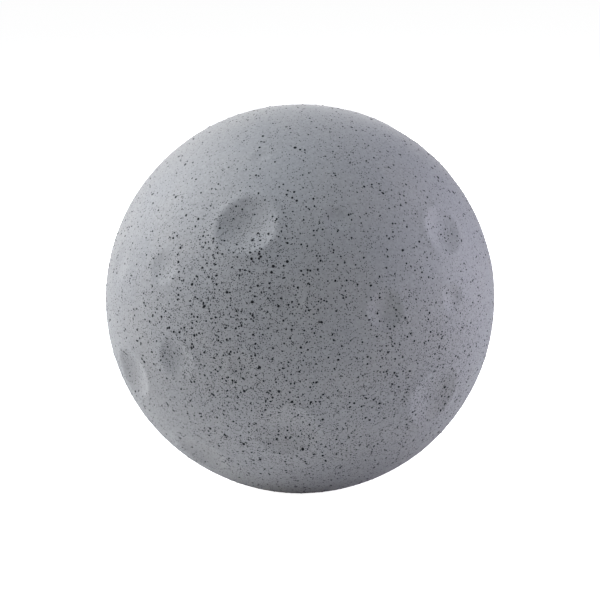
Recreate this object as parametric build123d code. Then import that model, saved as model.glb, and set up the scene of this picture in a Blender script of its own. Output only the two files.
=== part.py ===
"""A foam stress ball made as a small moon: a moulded foam ball with shallow craters, painted and speckled.

Millimetres, +Z up, origin at the centre of the ball. The front of the ball faces -Y.
"""
from build123d import *
from build123d.topology import SkipClean
import os
from math import asin, cos, degrees, radians, sin, sqrt
from random import Random

# Driving dimensions
BALL_DIAMETER = 70.0
SKIN_THICKNESS = 0.8  # dense skin that the foam forms against the mould wall
COAT_THICKNESS = 0.12  # flexible grey paint over the skin
CUTTER_OVERLAP = 1.0  # how far a crater's cutter reaches past the rim

# Dried drops of black paint spattered over the coat
DROP_COUNT = 150
DROP_WIDTH_SMALLEST = 0.4
DROP_WIDTH_LARGEST = 0.6
DROP_HEIGHT = 0.08  # at the middle of the smallest drop; wider drops are higher in proportion
DROP_CLEARANCE = 0.6  # from a drop's edge to a crater's rim or to the next drop
DROP_SEED = 7

# Craters: azimuth, elevation (degrees), width across the rim, depth below the rim (mm).
# Azimuth turns from the front (-Y) towards +X; elevation rises from the equator towards +Z.
FRONT_CRATERS = (
    (-17, 30, 10.4, 0.74),
    (12, 32, 4.8, 0.30),
    (-18, 53, 3.6, 0.12),
    (-43, 16, 6.2, 0.24),
    (-67, 14, 7.4, 0.20),
    (-37, -9, 7.2, 0.62),
    (-60, -17, 9.6, 0.80),
    (-42, -43, 9.6, 0.90),
    (-16, -9, 5.4, 0.28),
    (-3, 9, 6.0, 0.24),
    (-4, -30, 10.9, 0.90),
    (24, 6, 6.9, 0.56),
    (51, 26, 8.7, 0.62),
    (48, 7, 5.1, 0.28),
    (45, -22, 11.2, 0.62),
)
BACK_CRATERS = (
    (96, 8, 9.2, 0.62),
    (92, -18, 5.8, 0.30),
    (104, 42, 7.6, 0.46),
    (118, -30, 7.0, 0.44),
    (128, 30, 10.4, 0.85),
    (134, 2, 5.2, 0.28),
    (158, -14, 10.8, 0.60),
    (164, 20, 6.6, 0.38),
    (-172, 46, 8.4, 0.60),
    (-166, -4, 5.6, 0.26),
    (-150, 22, 9.4, 0.75),
    (-140, -22, 8.0, 0.52),
    (-122, 4, 6.2, 0.34),
    (-112, 34, 8.8, 0.64),
    (-100, -14, 10.2, 0.78),
    (-100, 12, 5.0, 0.24),
)
TOP_CRATERS = (
    (120, 66, 9.0, 0.60),
    (-110, 56, 6.4, 0.36),
    (160, 76, 6.0, 0.32),
)
BOTTOM_CRATERS = (
    (140, -74, 6.6, 0.35),
    (92, -50, 9.0, 0.64),
    (150, -50, 7.8, 0.45),
    (-150, -52, 9.6, 0.70),
    (-90, -46, 6.0, 0.32),
)
CRATERS = FRONT_CRATERS + BACK_CRATERS + TOP_CRATERS + BOTTOM_CRATERS

BALL_RADIUS = BALL_DIAMETER / 2


def direction(azimuth, elevation):
    """Unit vector from the ball's centre."""
    turn = radians(azimuth)
    rise = radians(elevation)
    return Vector(sin(turn) * cos(rise), -cos(turn) * cos(rise), sin(rise))


def crater_cutter(azimuth, elevation, width, depth, inset):
    """Plug that scoops out one crater, its round underside grown by inset to keep the layers parallel."""
    half = width / 2
    rim_height = sqrt(BALL_RADIUS**2 - half**2)
    dish_radius = (half**2 + depth**2) / (2 * depth)
    centre = rim_height - depth + dish_radius
    cut_radius = dish_radius + inset
    spread = degrees(asin((half + CUTTER_OVERLAP) / cut_radius))
    underside = CenterArc((0, centre), cut_radius, -90, spread)
    top = BALL_RADIUS + CUTTER_OVERLAP
    rest = Polyline(underside @ 1, ((underside @ 1).X, top), (0, top), underside @ 0)
    plug = revolve(Plane.XZ * make_face([underside, rest]), Axis.Z)
    return Plane(origin=(0, 0, 0), z_dir=direction(azimuth, elevation)) * plug


def round_ball(radius):
    """Solid ball, its surface in two halves that meet at the equator."""
    upper = CenterArc((0, 0), radius, 0, 90)
    lower = CenterArc((0, 0), radius, -90, 90)
    middle = Line(upper @ 1, lower @ 0)
    return revolve(Plane.XZ * make_face([lower, upper, middle]), Axis.Z, clean=False)


def cratered_ball(inset):
    """Solid ball with every crater, its surface lying inset below the painted surface."""
    cutters = [crater_cutter(*crater, inset) for crater in CRATERS]
    with SkipClean():
        return round_ball(BALL_RADIUS - inset) - cutters


def shell(outer, inner):
    """The layer between two cratered balls."""
    with SkipClean():
        return outer - inner


def drop_directions():
    """Scattered places for the drops, clear of the craters and of each other."""
    dice = Random(DROP_SEED)
    places = []
    while len(places) < DROP_COUNT:
        spot = direction(dice.uniform(-180, 180), 90 - 180 * dice.random())
        width = dice.uniform(DROP_WIDTH_SMALLEST, DROP_WIDTH_LARGEST)
        if is_clear(spot, width, places):
            places.append((spot, width))
    return places


def is_clear(spot, width, places):
    """True where a drop of this width touches no crater and no other drop."""
    for azimuth, elevation, crater_width, _ in CRATERS:
        room = (crater_width + width) / 2 + DROP_CLEARANCE
        if (spot - direction(azimuth, elevation)).length * BALL_RADIUS < room:
            return False
    for other, other_width in places:
        if (spot - other).length * BALL_RADIUS < (width + other_width) / 2 + DROP_CLEARANCE:
            return False
    return True


def paint_drop(spot, width):
    """One dried drop: a lens with its underside on the painted surface."""
    half = width / 2
    height = DROP_HEIGHT * width / DROP_WIDTH_SMALLEST
    rim_angle = asin(half / BALL_RADIUS)
    rise = BALL_RADIUS + height - BALL_RADIUS * cos(rim_angle)
    crown_radius = (half**2 + rise**2) / (2 * rise)
    crown_centre = BALL_RADIUS + height - crown_radius
    crown_angle = degrees(asin(half / crown_radius))
    underside = CenterArc((0, 0), BALL_RADIUS, 90, -degrees(rim_angle))
    crown = CenterArc((0, crown_centre), crown_radius, 90 - crown_angle, crown_angle)
    middle = Line(crown @ 1, underside @ 0)
    lens = revolve(Plane.XZ * make_face([underside, crown, middle]), Axis.Z)
    return Plane(origin=(0, 0, 0), z_dir=spot) * lens


def main():
    os.makedirs("parts", exist_ok=True)
    painted = cratered_ball(0)
    moulded = cratered_ball(COAT_THICKNESS)
    foam = cratered_ball(COAT_THICKNESS + SKIN_THICKNESS)
    drops = [paint_drop(spot, width) for spot, width in drop_directions()]
    nodes = {
        "foam_core": foam,
        "integral_skin": shell(moulded, foam),
        "base_coat": shell(painted, moulded),
        "speckle_drops": Compound(children=drops),
    }
    for name, shape in nodes.items():
        export_step(shape, f"parts/{name}.step")


main()
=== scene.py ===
"""A foam stress ball made as a small moon.

The painted ball is modelled over the CAD coat: a round block, its craters with their soft raised rims, and the
slight unevenness of moulded foam. The black speckle is real drops of paint, thrown at the ball from a spray gun
and stuck where they land. Lengths are in metres unless a name ends in _MM.
"""
import math

import bpy
import numpy as np
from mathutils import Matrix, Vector
from mathutils.bvhtree import BVHTree


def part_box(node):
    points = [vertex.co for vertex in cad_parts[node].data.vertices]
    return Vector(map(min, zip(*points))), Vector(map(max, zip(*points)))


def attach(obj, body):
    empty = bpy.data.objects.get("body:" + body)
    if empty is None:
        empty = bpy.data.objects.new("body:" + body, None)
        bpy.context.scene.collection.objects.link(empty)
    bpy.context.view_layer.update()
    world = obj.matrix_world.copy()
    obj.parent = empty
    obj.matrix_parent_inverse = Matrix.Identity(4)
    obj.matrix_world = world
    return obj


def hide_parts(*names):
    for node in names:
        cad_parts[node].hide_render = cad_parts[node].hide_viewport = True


bl_info = {
    "name": "Foam Moon Ball",
    "version": (1, 0, 0),
    "blender": (4, 5, 0),
    "location": "View3D > Sidebar > Moon Ball",
    "description": "Builds a squeezable foam moon with craters and a spattered paint finish",
    "category": "Object",
}

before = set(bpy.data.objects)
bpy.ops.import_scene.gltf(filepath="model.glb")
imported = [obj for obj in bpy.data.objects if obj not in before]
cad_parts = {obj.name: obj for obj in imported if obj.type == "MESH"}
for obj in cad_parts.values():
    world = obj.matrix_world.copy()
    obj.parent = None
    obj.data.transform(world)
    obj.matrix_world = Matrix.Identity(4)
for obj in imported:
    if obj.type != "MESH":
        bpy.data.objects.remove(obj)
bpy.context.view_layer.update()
COAT_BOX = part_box("base_coat")
CENTRE = (COAT_BOX[0] + COAT_BOX[1]) / 2
BALL_RADIUS = (COAT_BOX[1] - COAT_BOX[0]).x / 2
COAT_THICKNESS = BALL_RADIUS - (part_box("integral_skin")[1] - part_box("integral_skin")[0]).x / 2
MM = 0.001

FIRST_LEVELS = 3  # divisions of the round block before it is rounded for the first time
BULGE_SIZE = 28 * MM  # of the waves that leave the ball out of round
DIMPLE_SIZE = 3.5 * MM

# Craters: azimuth, elevation (degrees), width, depth below the rim, height of the raised rim (mm).
# Azimuth turns from the front (-Y) towards +X; elevation rises from the equator towards +Z.
CRATERS = (
    (-17, 30, 10.4, 0.74, 0.13),
    (12, 32, 4.8, 0.30, 0.05),
    (-18, 53, 3.6, 0.12, 0.02),
    (-43, 16, 6.2, 0.24, 0.04),
    (-67, 14, 7.4, 0.20, 0.03),
    (-37, -9, 7.2, 0.62, 0.10),
    (-60, -17, 9.6, 0.80, 0.13),
    (-42, -43, 9.6, 0.90, 0.24),
    (-16, -9, 5.4, 0.28, 0.05),
    (-3, 9, 6.0, 0.24, 0.05),
    (-4, -30, 10.9, 0.90, 0.14),
    (24, 6, 6.9, 0.56, 0.09),
    (51, 26, 8.7, 0.62, 0.11),
    (48, 7, 5.1, 0.28, 0.04),
    (45, -22, 11.2, 0.62, 0.09),
    (96, 8, 9.2, 0.62, 0.10),
    (92, -18, 5.8, 0.30, 0.05),
    (104, 42, 7.6, 0.46, 0.07),
    (118, -30, 7.0, 0.44, 0.07),
    (128, 30, 10.4, 0.85, 0.14),
    (134, 2, 5.2, 0.28, 0.04),
    (158, -14, 10.8, 0.60, 0.10),
    (164, 20, 6.6, 0.38, 0.06),
    (-172, 46, 8.4, 0.60, 0.10),
    (-166, -4, 5.6, 0.26, 0.04),
    (-150, 22, 9.4, 0.75, 0.12),
    (-140, -22, 8.0, 0.52, 0.08),
    (-122, 4, 6.2, 0.34, 0.05),
    (-112, 34, 8.8, 0.64, 0.10),
    (-100, -14, 10.2, 0.78, 0.12),
    (-100, 12, 5.0, 0.24, 0.04),
    (120, 66, 9.0, 0.60, 0.10),
    (-110, 56, 6.4, 0.36, 0.06),
    (160, 76, 6.0, 0.32, 0.05),
    (140, -74, 6.6, 0.35, 0.06),
    (92, -50, 9.0, 0.64, 0.10),
    (150, -50, 7.8, 0.45, 0.07),
    (-150, -52, 9.6, 0.70, 0.11),
    (-90, -46, 6.0, 0.32, 0.05),
)
WALL_SHAPE = 1.4  # power of the bowl's curve: 1 is a sharp-edged bowl, 2 one that eases into the ball
RIM_SPREAD_MM = 0.9  # width of the raised rim's slope
RIM_REACH = 1.08  # where the rim is highest, in half widths from the crater's middle
OUTLINE_WOBBLE = 0.05  # how far a crater's outline leaves a circle
OUTLINE_SEED = 5

# Bursts of the spray gun: azimuth and elevation of the gun, azimuth and elevation aimed at, spread on the
# ball (mm), share of the paint. The first six cover the ball, and the narrow ones leave the denser patches.
GUN_BURSTS = (
    (0, 10, 0, -4, 24, 1.5),
    (90, 10, 90, 4, 24, 1.5),
    (180, 10, 180, 4, 24, 1.5),
    (-90, 10, -90, 4, 24, 1.3),
    (0, 88, 0, 88, 24, 0.75),
    (0, -88, 0, -88, 24, 2.0),
    (-35, 8, -25, 1, 9, 1.1),
    (-20, 30, -12, 21, 8, 0.5),
    (-15, -40, -10, -27, 10, 0.9),
    (48, -20, 40, -14, 10, 1.0),
    (20, -52, 14, -44, 11, 0.6),
    (-60, 65, 35, 36, 10, 0.15),
    (150, 22, 143, 16, 11, 0.9),
    (-165, -16, -170, -12, 12, 0.9),
    (-122, 10, -114, 12, 11, 0.8),
    (112, -36, 105, -28, 10, 0.7),
    (168, 54, 175, 48, 10, 0.6),
    (-100, -52, -92, -45, 10, 0.6),
)

# Drops by width (mm): piece, narrowest, widest, sides of the outline, height of the middle, then rings as
# (width, height) from the buried edge up. Heights and rings are shares of the drop's width.
DROP_KINDS = (
    ("large_drops", 0.30, 0.62, 8, 0.16, ((1.0, -0.1), (0.94, 0.05), (0.55, 0.14))),
    ("medium_drops", 0.20, 0.30, 7, 0.18, ((1.0, -0.05),)),
    ("fine_drops", 0.07, 0.20, 5, 0.18, ((1.0, -0.05),)),
)
FLATTEST_HIT = 0.45  # sine of the angle to the surface below which a hit draws its drop out no further
SLANT_STRETCH = 0.4  # power by which a slanting hit draws a drop out
OWN_STRETCH = (0.9, 1.15)  # range of each drop's own length over its width
SQUARE_HIT = 0.2  # a hit with less sideways travel than this has no direction of its own

MIST_SCALE = 3300.0  # cells of overspray per metre
MIST_DOT = (0.20, 0.34)  # a dot's full and faded radius, in cells
MIST_SHARES = (0.08, 0.75)  # share of the cells with a dot, where the overspray is none and full

FLOOR_GLOW = 0.985  # as the camera sees it
FLOOR_BOUNCE = 0.04  # as light on the ball, beyond what the paper reflects
SURROUND_GLOW = 0.985  # as the camera sees it
FLOOR_SIZE = 6.0
# Soft square lights: name, azimuth, elevation, distance, size, watts, colour.
SOFT_LIGHTS = (
    ("left_light", -107, 37, 0.7, 0.5, 5.3, (0.94, 1.0, 1.05)),
    ("low_left_light", -130, 6, 0.7, 0.5, 1.1, (1.04, 1.0, 0.95)),
    ("right_light", 103, 10, 0.7, 0.5, 4.1, (0.94, 0.96, 1.16)),
    ("top_light", -30, 70, 0.7, 0.5, 2.5, (0.88, 1.0, 1.12)),
    ("back_light", 180, 15, 0.7, 0.5, 2.0, (1.02, 1.0, 0.97)),
)
SENSOR_WIDTH_MM = 36  # of a new camera
FRAMING_SHIFT = -0.0022  # sets the ball's centre a little above the picture's


def direction(azimuth, elevation):
    """Unit vector from the ball's centre."""
    turn, rise = math.radians(azimuth), math.radians(elevation)
    return Vector((math.sin(turn) * math.cos(rise), -math.cos(turn) * math.cos(rise), math.sin(rise)))


# ---------------------------------------------------------------- settings


class MoonBallShape(bpy.types.PropertyGroup):
    """Sizes of the moulded ball."""

    finish_levels: bpy.props.IntProperty(
        name="Mesh Levels", description="How often the round block is divided", default=7, min=4, max=7)
    unevenness: bpy.props.FloatProperty(
        name="Unevenness", description="How far the moulding leaves a true ball",
        default=0.35 * MM, subtype="DISTANCE", unit="LENGTH", precision=5)
    dimpling: bpy.props.FloatProperty(
        name="Dimpling", description="Height of the fine waves in the foam's skin",
        default=0.05 * MM, subtype="DISTANCE", unit="LENGTH", precision=5)


class MoonBallPaint(bpy.types.PropertyGroup):
    """Colours of the paints."""

    coat: bpy.props.FloatVectorProperty(
        name="Coat", description="Grey paint", subtype="COLOR", size=4,
        default=(0.327, 0.315, 0.318, 1), min=0, max=1)
    coat_warm: bpy.props.FloatVectorProperty(
        name="Coat, Warmer", description="Where the grey is thin", subtype="COLOR", size=4,
        default=(0.347, 0.328, 0.322, 1), min=0, max=1)
    speckle: bpy.props.FloatVectorProperty(
        name="Speckle", description="Black spatter", subtype="COLOR", size=4,
        default=(0.006, 0.006, 0.007, 1), min=0, max=1)


class MoonBallSpray(bpy.types.PropertyGroup):
    """How the black paint was thrown."""

    seed: bpy.props.IntProperty(name="Seed", description="Start of the scatter", default=11)
    drops: bpy.props.IntProperty(name="Drops", description="Drops that land on the ball", default=30000, min=0)
    width: bpy.props.FloatProperty(
        name="Middle Width", description="Half of the drops are narrower than this", default=0.195 * MM,
        subtype="DISTANCE", unit="LENGTH", precision=6)
    variety: bpy.props.FloatProperty(
        name="Variety", description="Spread of the widths, as the logarithm's deviation", default=0.34, min=0)
    gun_distance: bpy.props.FloatProperty(
        name="Gun Distance", description="From the ball's centre to the gun", default=0.3,
        subtype="DISTANCE", unit="LENGTH")


class MoonBallStage(bpy.types.PropertyGroup):
    """Camera."""

    elevation: bpy.props.FloatProperty(
        name="Camera Elevation", description="Above the horizon", default=math.radians(10),
        subtype="ANGLE", unit="ROTATION")
    lens: bpy.props.FloatProperty(name="Lens", description="Focal length in millimetres", default=120.0)
    ball_share: bpy.props.FloatProperty(
        name="Ball's Share", description="Share of the picture's width that the ball fills", default=0.648)


# ---------------------------------------------------------------- helpers


def settings(group):
    """One of the add-on's groups of settings."""
    return getattr(bpy.context.scene, group)


def start_clean():
    """Object mode, with nothing selected."""
    if bpy.context.mode != "OBJECT":
        bpy.ops.object.mode_set(mode="OBJECT")
    bpy.ops.object.select_all(action="DESELECT")


def apply_modifier(piece, name, kind, **values):
    """Adds a modifier with these settings and applies it."""
    modifier = piece.modifiers.new(name, kind)
    for key, value in values.items():
        setattr(modifier, key, value)
    bpy.ops.object.modifier_apply(modifier=modifier.name)


def coordinates(mesh):
    """The mesh's points as an array."""
    flat = np.empty(len(mesh.vertices) * 3)
    mesh.vertices.foreach_get("co", flat)
    return flat.reshape(-1, 3)


def weight_group(piece, name, weights):
    """A vertex group that holds these weights."""
    group = piece.vertex_groups.new(name=name)
    for index in np.nonzero(weights > 0)[0]:
        group.add([int(index)], float(weights[index]), "REPLACE")
    return group.name


# ---------------------------------------------------------------- materials


def new_material(name):
    """An empty node material and a function that adds nodes to it."""
    material = bpy.data.materials.new(name)
    material.use_nodes = True
    tree = material.node_tree
    tree.nodes.clear()

    def add(kind, **values):
        node = tree.nodes.new(kind)
        for key, value in values.items():
            if key in node.inputs:
                node.inputs[key].default_value = value
            else:
                setattr(node, key, value)
        return node

    output = add("ShaderNodeOutputMaterial")
    shader = add("ShaderNodeBsdfPrincipled")
    tree.links.new(shader.outputs["BSDF"], output.inputs["Surface"])
    place = add("ShaderNodeTexCoord").outputs["Object"]
    return material, shader, place, add, tree.links.new


def scaled(add, link, value, lowest, highest, low=0.0, high=1.0):
    """A value stretched so that low..high becomes lowest..highest, and held within them."""
    spread = add("ShaderNodeMapRange")
    spread.inputs["From Min"].default_value = low
    spread.inputs["From Max"].default_value = high
    spread.inputs["To Min"].default_value = lowest
    spread.inputs["To Max"].default_value = highest
    link(value, spread.inputs["Value"])
    return spread.outputs["Result"]


def overspray_dots(add, link, place):
    """Mist of dots too small to be modelled, thicker where the ball caught more overspray."""
    cells = add("ShaderNodeTexVoronoi", Scale=MIST_SCALE)
    link(place, cells.inputs["Vector"])
    dot = scaled(add, link, cells.outputs["Distance"], 1.0, 0.0, *MIST_DOT)
    mist = add("ShaderNodeAttribute", attribute_name="overspray")
    share = scaled(add, link, mist.outputs["Fac"], *MIST_SHARES)
    number = add("ShaderNodeSeparateColor")
    link(cells.outputs["Color"], number.inputs["Color"])
    present = add("ShaderNodeMath", operation="LESS_THAN")
    link(number.outputs["Red"], present.inputs[0])
    link(share, present.inputs[1])
    amount = add("ShaderNodeMath", operation="MULTIPLY")
    link(dot, amount.inputs[0])
    link(present.outputs["Value"], amount.inputs[1])
    return amount.outputs["Value"]


def grey_coat_material():
    """Flexible matt paint: mottled, orange-peeled, and dusted with the black paint's mist."""
    paint = settings("moon_paint")
    material, shader, place, add, link = new_material("grey_coat")
    shader.inputs["Roughness"].default_value = 0.62
    shader.inputs["Specular IOR Level"].default_value = 0.35
    shader.inputs["Sheen Weight"].default_value = 0.06
    shader.inputs["Sheen Roughness"].default_value = 0.5

    mottle = add("ShaderNodeTexNoise", Scale=90.0, Detail=4.0, Roughness=0.6)
    link(place, mottle.inputs["Vector"])
    tone = add("ShaderNodeMix", data_type="RGBA")
    link(scaled(add, link, mottle.outputs["Fac"], 0.0, 1.0, 0.3, 0.7), tone.inputs["Factor"])
    tone.inputs["A"].default_value = paint.coat
    tone.inputs["B"].default_value = paint.coat_warm

    grain = add("ShaderNodeTexNoise", Scale=2300.0, Detail=3.0, Roughness=0.7)
    link(place, grain.inputs["Vector"])
    grained = add("ShaderNodeVectorMath", operation="SCALE")
    link(tone.outputs["Result"], grained.inputs[0])
    link(scaled(add, link, grain.outputs["Fac"], 0.84, 1.14, 0.3, 0.7), grained.inputs["Scale"])

    dusted = add("ShaderNodeMix", data_type="RGBA")
    link(overspray_dots(add, link, place), dusted.inputs["Factor"])
    link(grained.outputs["Vector"], dusted.inputs["A"])
    dusted.inputs["B"].default_value = paint.speckle
    link(dusted.outputs["Result"], shader.inputs["Base Color"])

    peel = add("ShaderNodeTexNoise", Scale=1900.0, Detail=3.0, Roughness=0.55)
    link(place, peel.inputs["Vector"])
    relief = add("ShaderNodeBump", Strength=0.35, Distance=0.00006)
    link(peel.outputs["Fac"], relief.inputs["Height"])
    link(relief.outputs["Normal"], shader.inputs["Normal"])
    return material


def black_paint_material():
    """Dried spatter: near black, a little smoother than the coat."""
    paint = settings("moon_paint")
    material, shader, place, add, link = new_material("black_paint")
    shader.inputs["Roughness"].default_value = 0.55
    shader.inputs["Specular IOR Level"].default_value = 0.18
    tint = add("ShaderNodeTexNoise", Scale=700.0, Detail=2.0)
    link(place, tint.inputs["Vector"])
    tone = add("ShaderNodeMix", data_type="RGBA")
    link(tint.outputs["Fac"], tone.inputs["Factor"])
    tone.inputs["A"].default_value = paint.speckle
    tone.inputs["B"].default_value = (0.014, 0.014, 0.016, 1)
    link(tone.outputs["Result"], shader.inputs["Base Color"])
    return material


def foam_skin_material():
    """The dense skin that foam forms against a mould: smooth, off-white, with pin holes darkened by painted
    shade.
    """
    material, shader, place, add, link = new_material("foam_skin")
    shader.inputs["Roughness"].default_value = 0.7
    pores = add("ShaderNodeTexVoronoi", Scale=1400.0)
    link(place, pores.inputs["Vector"])
    # painted shade: the colour darkens towards each pin hole's middle, where the bump sinks it
    tone = add("ShaderNodeValToRGB")
    tone.color_ramp.elements[0].color = (0.42, 0.40, 0.34, 1)
    tone.color_ramp.elements[1].color = (0.62, 0.60, 0.53, 1)
    tone.color_ramp.elements[1].position = 0.25
    link(pores.outputs["Distance"], tone.inputs["Fac"])
    link(tone.outputs["Color"], shader.inputs["Base Color"])
    relief = add("ShaderNodeBump", Strength=0.3, Distance=0.00005)
    link(pores.outputs["Distance"], relief.inputs["Height"])
    link(relief.outputs["Normal"], shader.inputs["Normal"])
    return material


def foam_material():
    """Soft cellular foam, cream, with open cells of two sizes, darkened in their hollows with painted shade."""
    material, shader, place, add, link = new_material("foam")
    shader.inputs["Roughness"].default_value = 0.85
    cells = add("ShaderNodeTexVoronoi", Scale=2200.0)
    bubbles = add("ShaderNodeTexVoronoi", Scale=800.0)
    link(place, cells.inputs["Vector"])
    link(place, bubbles.inputs["Vector"])
    depth = add("ShaderNodeMath", operation="MULTIPLY")
    link(cells.outputs["Distance"], depth.inputs[0])
    link(bubbles.outputs["Distance"], depth.inputs[1])
    # painted shade: the cream darkens where the cells sink deepest in the bump
    tone = add("ShaderNodeValToRGB")
    tone.color_ramp.elements[0].color = (0.50, 0.46, 0.36, 1)
    tone.color_ramp.elements[1].color = (0.80, 0.77, 0.68, 1)
    tone.color_ramp.elements[1].position = 0.3
    link(depth.outputs["Value"], tone.inputs["Fac"])
    link(tone.outputs["Color"], shader.inputs["Base Color"])
    relief = add("ShaderNodeBump", Strength=0.8, Distance=0.0001)
    link(depth.outputs["Value"], relief.inputs["Height"])
    link(relief.outputs["Normal"], shader.inputs["Normal"])
    return material


# ---------------------------------------------------------------- the painted ball


def round_block(name, levels):
    """A ball of even, four-sided faces: a cube divided and cast round."""
    start_clean()
    bpy.ops.mesh.primitive_cube_add(size=2 * BALL_RADIUS, location=CENTRE)
    ball = bpy.context.active_object
    ball.name = name
    for step in (FIRST_LEVELS, levels - FIRST_LEVELS):
        apply_modifier(ball, "Divide", "SUBSURF", levels=step, render_levels=step)
        apply_modifier(
            ball, "Round", "CAST", cast_type="SPHERE", factor=1.0, use_radius_as_size=False, size=BALL_RADIUS)
    bpy.ops.object.transform_apply(location=True, rotation=True, scale=True)
    return ball


def crater_distances(points, azimuth, elevation, width, wobble):
    """Distance of each point from a crater's middle, as a share of the half width, its outline uneven."""
    outward = direction(azimuth, elevation)
    side = Vector((0, 0, 1)).cross(outward).normalized()
    up = outward.cross(side)
    unit = points / np.linalg.norm(points, axis=1)[:, None]
    across, along, facing = unit @ np.array(side), unit @ np.array(up), unit @ np.array(outward)
    angle = np.arctan2(along, across)
    reach = np.arccos(np.clip(facing, -1, 1)) * BALL_RADIUS / (width / 2 * MM)
    outline = 1 + wobble[0] * np.cos(2 * angle + wobble[1]) + wobble[2] * np.cos(3 * angle + wobble[3])
    return reach / outline


def crater_profiles(points):
    """How deep every crater sinks each point, and how high the rims lift it, in metres."""
    dice = np.random.default_rng(OUTLINE_SEED)
    sink = np.zeros(len(points))
    lift = np.zeros(len(points))
    for azimuth, elevation, width, depth, rim in CRATERS:
        wobble = (
            OUTLINE_WOBBLE * dice.uniform(0.4, 1), dice.uniform(0, math.tau),
            OUTLINE_WOBBLE * dice.uniform(0.2, 0.7), dice.uniform(0, math.tau),
        )
        reach = crater_distances(points, azimuth, elevation, width, wobble)
        half = width / 2
        crown = BALL_RADIUS / MM - math.sqrt((BALL_RADIUS / MM) ** 2 - half**2)
        bowl = np.maximum(0, 1 - reach**2) ** WALL_SHAPE
        sink += bowl * (depth + crown) * MM
        lift += rim * MM * np.exp(-(((reach - RIM_REACH) * half / RIM_SPREAD_MM) ** 2))
    return sink, lift


def press_craters(ball):
    """Sinks the craters and raises their rims with weighted Displace modifiers."""
    sink, lift = crater_profiles(coordinates(ball.data) - np.array(CENTRE))
    deepest, highest = sink.max(), lift.max()
    sink_group = weight_group(ball, "craters", sink / deepest)
    lift_group = weight_group(ball, "rims", lift / highest)
    apply_modifier(ball, "Craters", "DISPLACE", vertex_group=sink_group, mid_level=0.0, strength=-deepest)
    apply_modifier(ball, "Rims", "DISPLACE", vertex_group=lift_group, mid_level=0.0, strength=highest)
    ball.vertex_groups.clear()


def uneven(ball):
    """Leaves the ball a little out of round, with faint dimples, as foam comes out of a mould."""
    shape = settings("moon_shape")
    for name, size, strength in (
        ("Out of round", BULGE_SIZE, shape.unevenness),
        ("Dimples", DIMPLE_SIZE, shape.dimpling),
    ):
        waves = bpy.data.textures.new(name, "CLOUDS")
        waves.noise_scale = size
        waves.noise_depth = 1
        apply_modifier(
            ball, name, "DISPLACE", texture=waves, texture_coords="LOCAL", mid_level=0.5, strength=strength)


def moulded_ball(name, levels, inset):
    """The ball with craters and unevenness, its surface lying inset below the paint's."""
    ball = round_block(name, levels)
    press_craters(ball)
    uneven(ball)
    if inset:
        apply_modifier(ball, "Inset", "DISPLACE", mid_level=0.0, strength=-inset)
    bpy.ops.object.shade_smooth()
    return ball


def mark_overspray(ball):
    """Stores on the ball how much of the gun's finest mist each point caught, from 0 to about 1."""
    points = coordinates(ball.data)
    outward = (points - np.array(CENTRE)) / BALL_RADIUS
    mist = np.zeros(len(points))
    for gun_azimuth, gun_elevation, aim_azimuth, aim_elevation, spread, share in GUN_BURSTS:
        gun, aim = gun_line(gun_azimuth, gun_elevation, aim_azimuth, aim_elevation)
        flight = points - np.array(gun)
        flight /= np.linalg.norm(flight, axis=1)[:, None]
        facing = np.maximum(0, -(flight * outward).sum(1))
        angle = np.arccos(np.clip(flight @ np.array(aim), -1, 1))
        narrow = spread * MM / (settings("moon_spray").gun_distance - BALL_RADIUS)
        mist += share / narrow**2 * facing * np.exp(-((angle / narrow) ** 2) / 2)
    mist /= np.percentile(mist, 99)
    ball.data.attributes.new("overspray", "FLOAT", "POINT").data.foreach_set("value", mist)


class MOON_OT_painted_ball(bpy.types.Operator):
    """Model the painted ball with its craters"""

    bl_idname = "moon.painted_ball"
    bl_label = "Painted Ball"

    def execute(self, context):
        ball = moulded_ball("painted_ball", settings("moon_shape").finish_levels, 0)
        mark_overspray(ball)
        ball.data.materials.append(grey_coat_material())
        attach(ball, "root")
        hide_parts("base_coat")
        return {"FINISHED"}


class MOON_OT_foam(bpy.types.Operator):
    """Model the foam's skin under the paint and finish the foam core"""

    bl_idname = "moon.foam"
    bl_label = "Foam"

    def execute(self, context):
        skin = moulded_ball("foam_skin", settings("moon_shape").finish_levels - 1, COAT_THICKNESS)
        skin.data.materials.append(foam_skin_material())
        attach(skin, "root")
        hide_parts("integral_skin")
        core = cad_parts["foam_core"]
        core.data.materials.clear()
        core.data.materials.append(foam_material())
        return {"FINISHED"}


# ---------------------------------------------------------------- the spatter


def paint_drop(name, sides, top, rings):
    """One drop of paint, a unit wide: its rings as (width, height), closed below and drawn to a low top."""
    start_clean()
    bpy.ops.mesh.primitive_circle_add(
        vertices=sides, radius=rings[0][0] / 2, location=(0, 0, rings[0][1]), fill_type="NGON")
    drop = bpy.context.active_object
    drop.name = name
    bpy.ops.object.transform_apply(location=True, rotation=True, scale=True)
    bpy.ops.object.mode_set(mode="EDIT")
    bpy.ops.mesh.select_all(action="SELECT")
    for (width, height), (next_width, next_height) in zip(rings, rings[1:]):
        bpy.ops.mesh.extrude_region_move(TRANSFORM_OT_translate={"value": (0, 0, next_height - height)})
        share = next_width / width
        bpy.ops.transform.resize(value=(share, share, 1))
    bpy.ops.mesh.extrude_region_move(TRANSFORM_OT_translate={"value": (0, 0, top - rings[-1][1])})
    bpy.ops.mesh.merge(type="CENTER")
    bpy.ops.mesh.select_all(action="SELECT")
    bpy.ops.mesh.normals_make_consistent(inside=False)
    bpy.ops.mesh.quads_convert_to_tris()
    bpy.ops.object.mode_set(mode="OBJECT")
    return drop


def gun_line(gun_azimuth, gun_elevation, aim_azimuth, aim_elevation):
    """Where the gun is held, and the way it points."""
    gun = CENTRE + direction(gun_azimuth, gun_elevation) * settings("moon_spray").gun_distance
    aim = CENTRE + direction(aim_azimuth, aim_elevation) * BALL_RADIUS
    return gun, (aim - gun).normalized()


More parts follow.
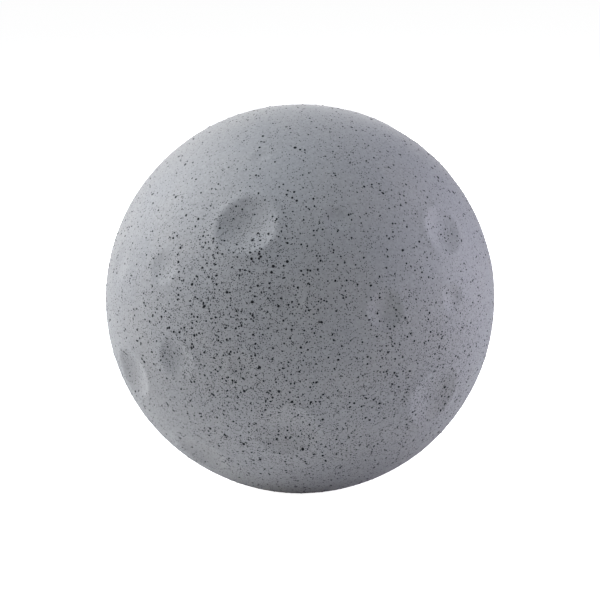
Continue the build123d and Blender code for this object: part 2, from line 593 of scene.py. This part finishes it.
def burst_hits(tree, burst, count, dice):
    """Where the drops of one burst land: place, surface normal and way of travel."""
    gun, aim = gun_line(*burst[:4])
    narrow = burst[4] * MM / (settings("moon_spray").gun_distance - BALL_RADIUS)
    side = aim.orthogonal().normalized()
    up = aim.cross(side)
    hits = []
    while len(hits) < count:
        off = dice.normal(0, narrow, 2)
        flight = (aim + side * off[0] + up * off[1]).normalized()
        place, normal, _, _ = tree.ray_cast(gun, flight)
        if place is not None:
            hits.append((place, normal, flight))
    return hits


def spray_hits(tree, count, dice):
    """Hits of all bursts together, each burst with its share of the drops."""
    total = sum(burst[5] for burst in GUN_BURSTS)
    hits = []
    for burst in GUN_BURSTS:
        hits += burst_hits(tree, burst, round(count * burst[5] / total), dice)
    return hits


def stick_drops(drop, hits, widths, dice):
    """Copies of the drop at the hits, drawn out where they land at a slant, all in one mesh."""
    shape = coordinates(drop.data)
    faces = np.array([polygon.vertices[:] for polygon in drop.data.polygons])
    points, triangles = [], []
    for number, ((place, normal, flight), width) in enumerate(zip(hits, widths)):
        slant = max(FLATTEST_HIT, -flight.dot(normal))
        along = flight - normal * flight.dot(normal)
        if along.length < SQUARE_HIT:
            along = normal.orthogonal()
        along.normalize()
        across = normal.cross(along)
        stretch = dice.uniform(*OWN_STRETCH) / slant**SLANT_STRETCH
        spin = dice.uniform(0, math.tau)
        turned = shape.copy()
        turned[:, 0] = shape[:, 0] * math.cos(spin) - shape[:, 1] * math.sin(spin)
        turned[:, 1] = shape[:, 0] * math.sin(spin) + shape[:, 1] * math.cos(spin)
        turned *= (width * math.sqrt(stretch), width / math.sqrt(stretch), width)
        axes = np.array((along, across, normal))
        points.append(np.array(place) + turned @ axes)
        triangles.append(faces + number * len(shape))
    mesh = bpy.data.meshes.new(drop.name)
    mesh.from_pydata(np.concatenate(points), [], np.concatenate(triangles))
    drop.data = mesh


class MOON_OT_spatter(bpy.types.Operator):
    """Throw the black paint at the ball in three sizes of drop"""

    bl_idname = "moon.spatter"
    bl_label = "Paint Spatter"

    def execute(self, context):
        spray = settings("moon_spray")
        dice = np.random.default_rng(spray.seed)
        ball = bpy.data.objects["painted_ball"]
        tree = BVHTree.FromObject(ball, context.evaluated_depsgraph_get())
        hits = spray_hits(tree, spray.drops, dice)
        widths = spray.width * np.exp(dice.normal(0, spray.variety, len(hits)))
        black = black_paint_material()
        for name, smallest, largest, sides, top, rings in DROP_KINDS:
            chosen = np.nonzero((widths >= smallest * MM) & (widths < largest * MM))[0]
            drop = paint_drop(name, sides, top, rings)
            stick_drops(drop, [hits[index] for index in chosen], widths[chosen], dice)
            drop.data.materials.append(black)
            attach(drop, "root")
        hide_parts("speckle_drops")
        return {"FINISHED"}


# ---------------------------------------------------------------- stage


class MOON_OT_stage(bpy.types.Operator):
    """Set the floor, lights and camera"""

    bl_idname = "moon.stage"
    bl_label = "Stage"

    def execute(self, context):
        stage = settings("moon_stage")
        start_clean()
        bpy.ops.mesh.primitive_plane_add(size=FLOOR_SIZE, location=(0, 0, CENTRE.z - BALL_RADIUS))
        floor = context.active_object
        floor.name = "floor"
        bpy.ops.object.transform_apply(location=True, rotation=True, scale=True)
        floor.data.materials.append(floor_paper_material())
        for light in SOFT_LIGHTS:
            soft_light(*light)
        white_surround()
        aim_camera(stage)
        return {"FINISHED"}


def floor_paper_material():
    """White paper, lit up mostly for the camera, so that the ball's shadow on it stays faint."""
    material, shader, _, add, link = new_material("floor_paper")
    shader.inputs["Base Color"].default_value = (0.92, 0.92, 0.92, 1)
    shader.inputs["Roughness"].default_value = 0.9
    shader.inputs["Emission Color"].default_value = (1, 1, 1, 1)
    path = add("ShaderNodeLightPath")
    glow = scaled(add, link, path.outputs["Is Camera Ray"], FLOOR_BOUNCE, FLOOR_GLOW)
    link(glow, shader.inputs["Emission Strength"])
    return material


def soft_light(name, azimuth, elevation, distance, size, watts, colour):
    """A square area light that faces the ball."""
    start_clean()
    outward = direction(azimuth, elevation)
    bpy.ops.object.light_add(type="AREA", location=CENTRE + outward * distance)
    light = bpy.context.active_object
    light.name = name
    light.rotation_euler = outward.to_track_quat("Z", "Y").to_euler()
    light.data.size = size
    light.data.energy = watts
    light.data.color = colour
    light.visible_camera = False


def white_surround():
    """A world that is white to the camera and gives no light."""
    world = bpy.data.worlds.new("white_surround")
    bpy.context.scene.world = world
    world.use_nodes = True
    nodes, links = world.node_tree.nodes, world.node_tree.links
    background = nodes["Background"]
    path = nodes.new("ShaderNodeLightPath")
    mix = nodes.new("ShaderNodeMix")
    mix.data_type = "FLOAT"
    mix.inputs["A"].default_value = 0.0
    mix.inputs["B"].default_value = SURROUND_GLOW
    links.new(path.outputs["Is Camera Ray"], mix.inputs["Factor"])
    links.new(mix.outputs["Result"], background.inputs["Strength"])
    background.inputs["Color"].default_value = (1, 1, 1, 1)


def aim_camera(stage):
    """A long lens in front of the ball, looking a little down."""
    start_clean()
    half_angle = math.atan(stage.ball_share * SENSOR_WIDTH_MM / stage.lens / 2)
    distance = BALL_RADIUS / math.sin(half_angle)
    outward = direction(0, math.degrees(stage.elevation))
    bpy.ops.object.camera_add(location=CENTRE + outward * distance)
    camera = bpy.context.active_object
    camera.rotation_euler = outward.to_track_quat("Z", "Y").to_euler()
    camera.data.lens = stage.lens
    camera.data.shift_y = FRAMING_SHIFT
    camera.data.clip_start = 0.01
    bpy.context.scene.camera = camera
    bpy.context.scene.view_settings.view_transform = "Standard"


# ---------------------------------------------------------------- add-on


class MOON_PT_sidebar(bpy.types.Panel):
    """Steps that build the foam moon"""

    bl_label = "Moon Ball"
    bl_idname = "MOON_PT_sidebar"
    bl_space_type = "VIEW_3D"
    bl_region_type = "UI"
    bl_category = "Moon Ball"

    def draw(self, context):
        for group, cls in GROUPS.items():
            for name in cls.__annotations__:
                self.layout.prop(settings(group), name)
        for operator in OPERATORS:
            self.layout.operator(operator.bl_idname)


GROUPS = {
    "moon_shape": MoonBallShape,
    "moon_paint": MoonBallPaint,
    "moon_spray": MoonBallSpray,
    "moon_stage": MoonBallStage,
}
OPERATORS = (MOON_OT_painted_ball, MOON_OT_foam, MOON_OT_spatter, MOON_OT_stage)


def register():
    """Registers the classes and hangs each group of settings on the scene."""
    for cls in (*GROUPS.values(), *OPERATORS, MOON_PT_sidebar):
        bpy.utils.register_class(cls)
    for name, cls in GROUPS.items():
        setattr(bpy.types.Scene, name, bpy.props.PointerProperty(type=cls))


def unregister():
    """Takes the groups of settings off the scene and the classes out again."""
    for name in GROUPS:
        delattr(bpy.types.Scene, name)
    for cls in reversed((*GROUPS.values(), *OPERATORS, MOON_PT_sidebar)):
        bpy.utils.unregister_class(cls)


def main():
    """Builds the ball and its stage."""
    register()
    bpy.ops.moon.painted_ball()
    bpy.ops.moon.foam()
    bpy.ops.moon.spatter()
    bpy.ops.moon.stage()


if __name__ == "__main__":
    main()
